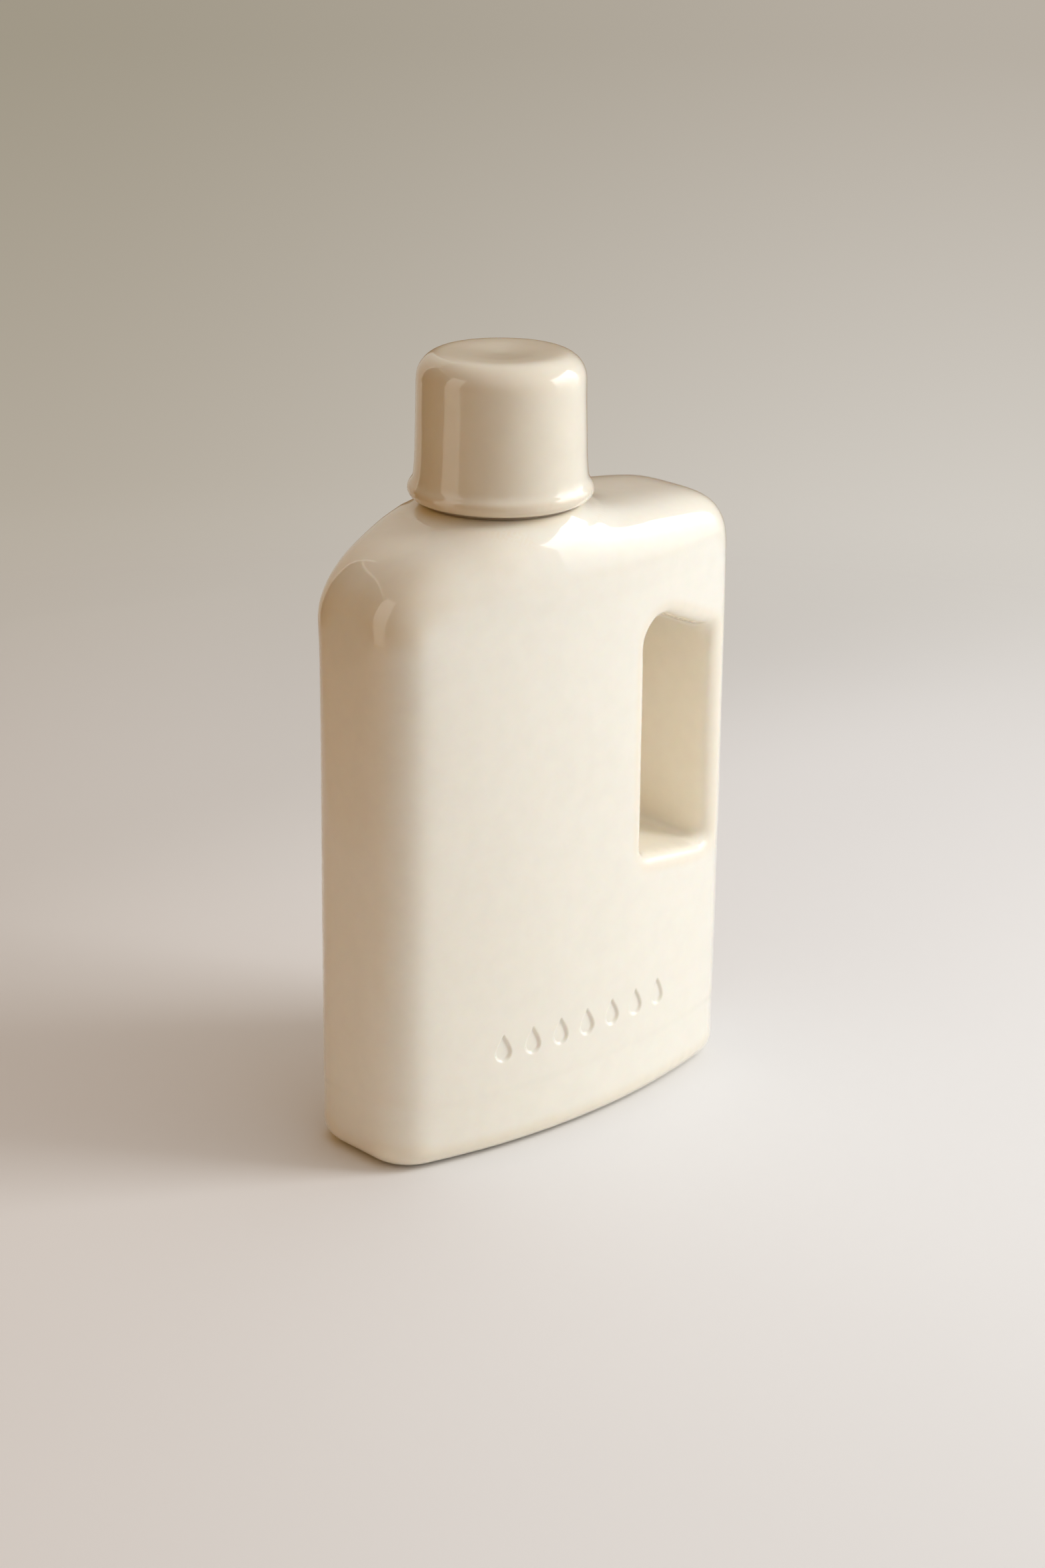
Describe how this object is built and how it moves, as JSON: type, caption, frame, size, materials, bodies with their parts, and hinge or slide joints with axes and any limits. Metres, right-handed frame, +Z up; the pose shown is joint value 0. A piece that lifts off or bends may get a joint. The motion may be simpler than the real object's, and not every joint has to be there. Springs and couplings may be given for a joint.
{
  "type": "detergent dispenser bottle",
  "caption": "Flat hollow glazed ceramic bottle for liquid laundry detergent, with an integral hand hole and grip, a push-on dosing cap, a neck seal and a pour spout.",
  "frame": {"origin": "centre of the base, on the ground plane under the pads", "axes": "+Z up; +X along the bottle's width, towards the hand hole and grip; -Y out of the front face"},
  "size_m": [0.1608, 0.072, 0.2728],
  "materials": {
    "glazed_ceramic": "cream gloss glaze over a cream clay, with a soft clear coat",
    "glazed_cap": "cream gloss glaze, a little thinner and warmer at its edges",
    "seal_silicone": "matt warm grey silicone",
    "spout_plastic": "milky moulded polyethylene",
    "pad_silicone": "matt grey-white silicone"
  },
  "bodies": {
    "bottle": {"bottle_body": "glazed_ceramic", "neck_seal": "seal_silicone", "pour_spout": "spout_plastic", "base_pads": "pad_silicone"},
    "cap": {"cap": "glazed_cap"}
  },
  "joints": [
    {"name": "cap_lift", "type": "slide", "parent": "bottle", "child": "cap", "axis": [0, 0, 1], "range_m": [0, 0.06]}
  ]
}
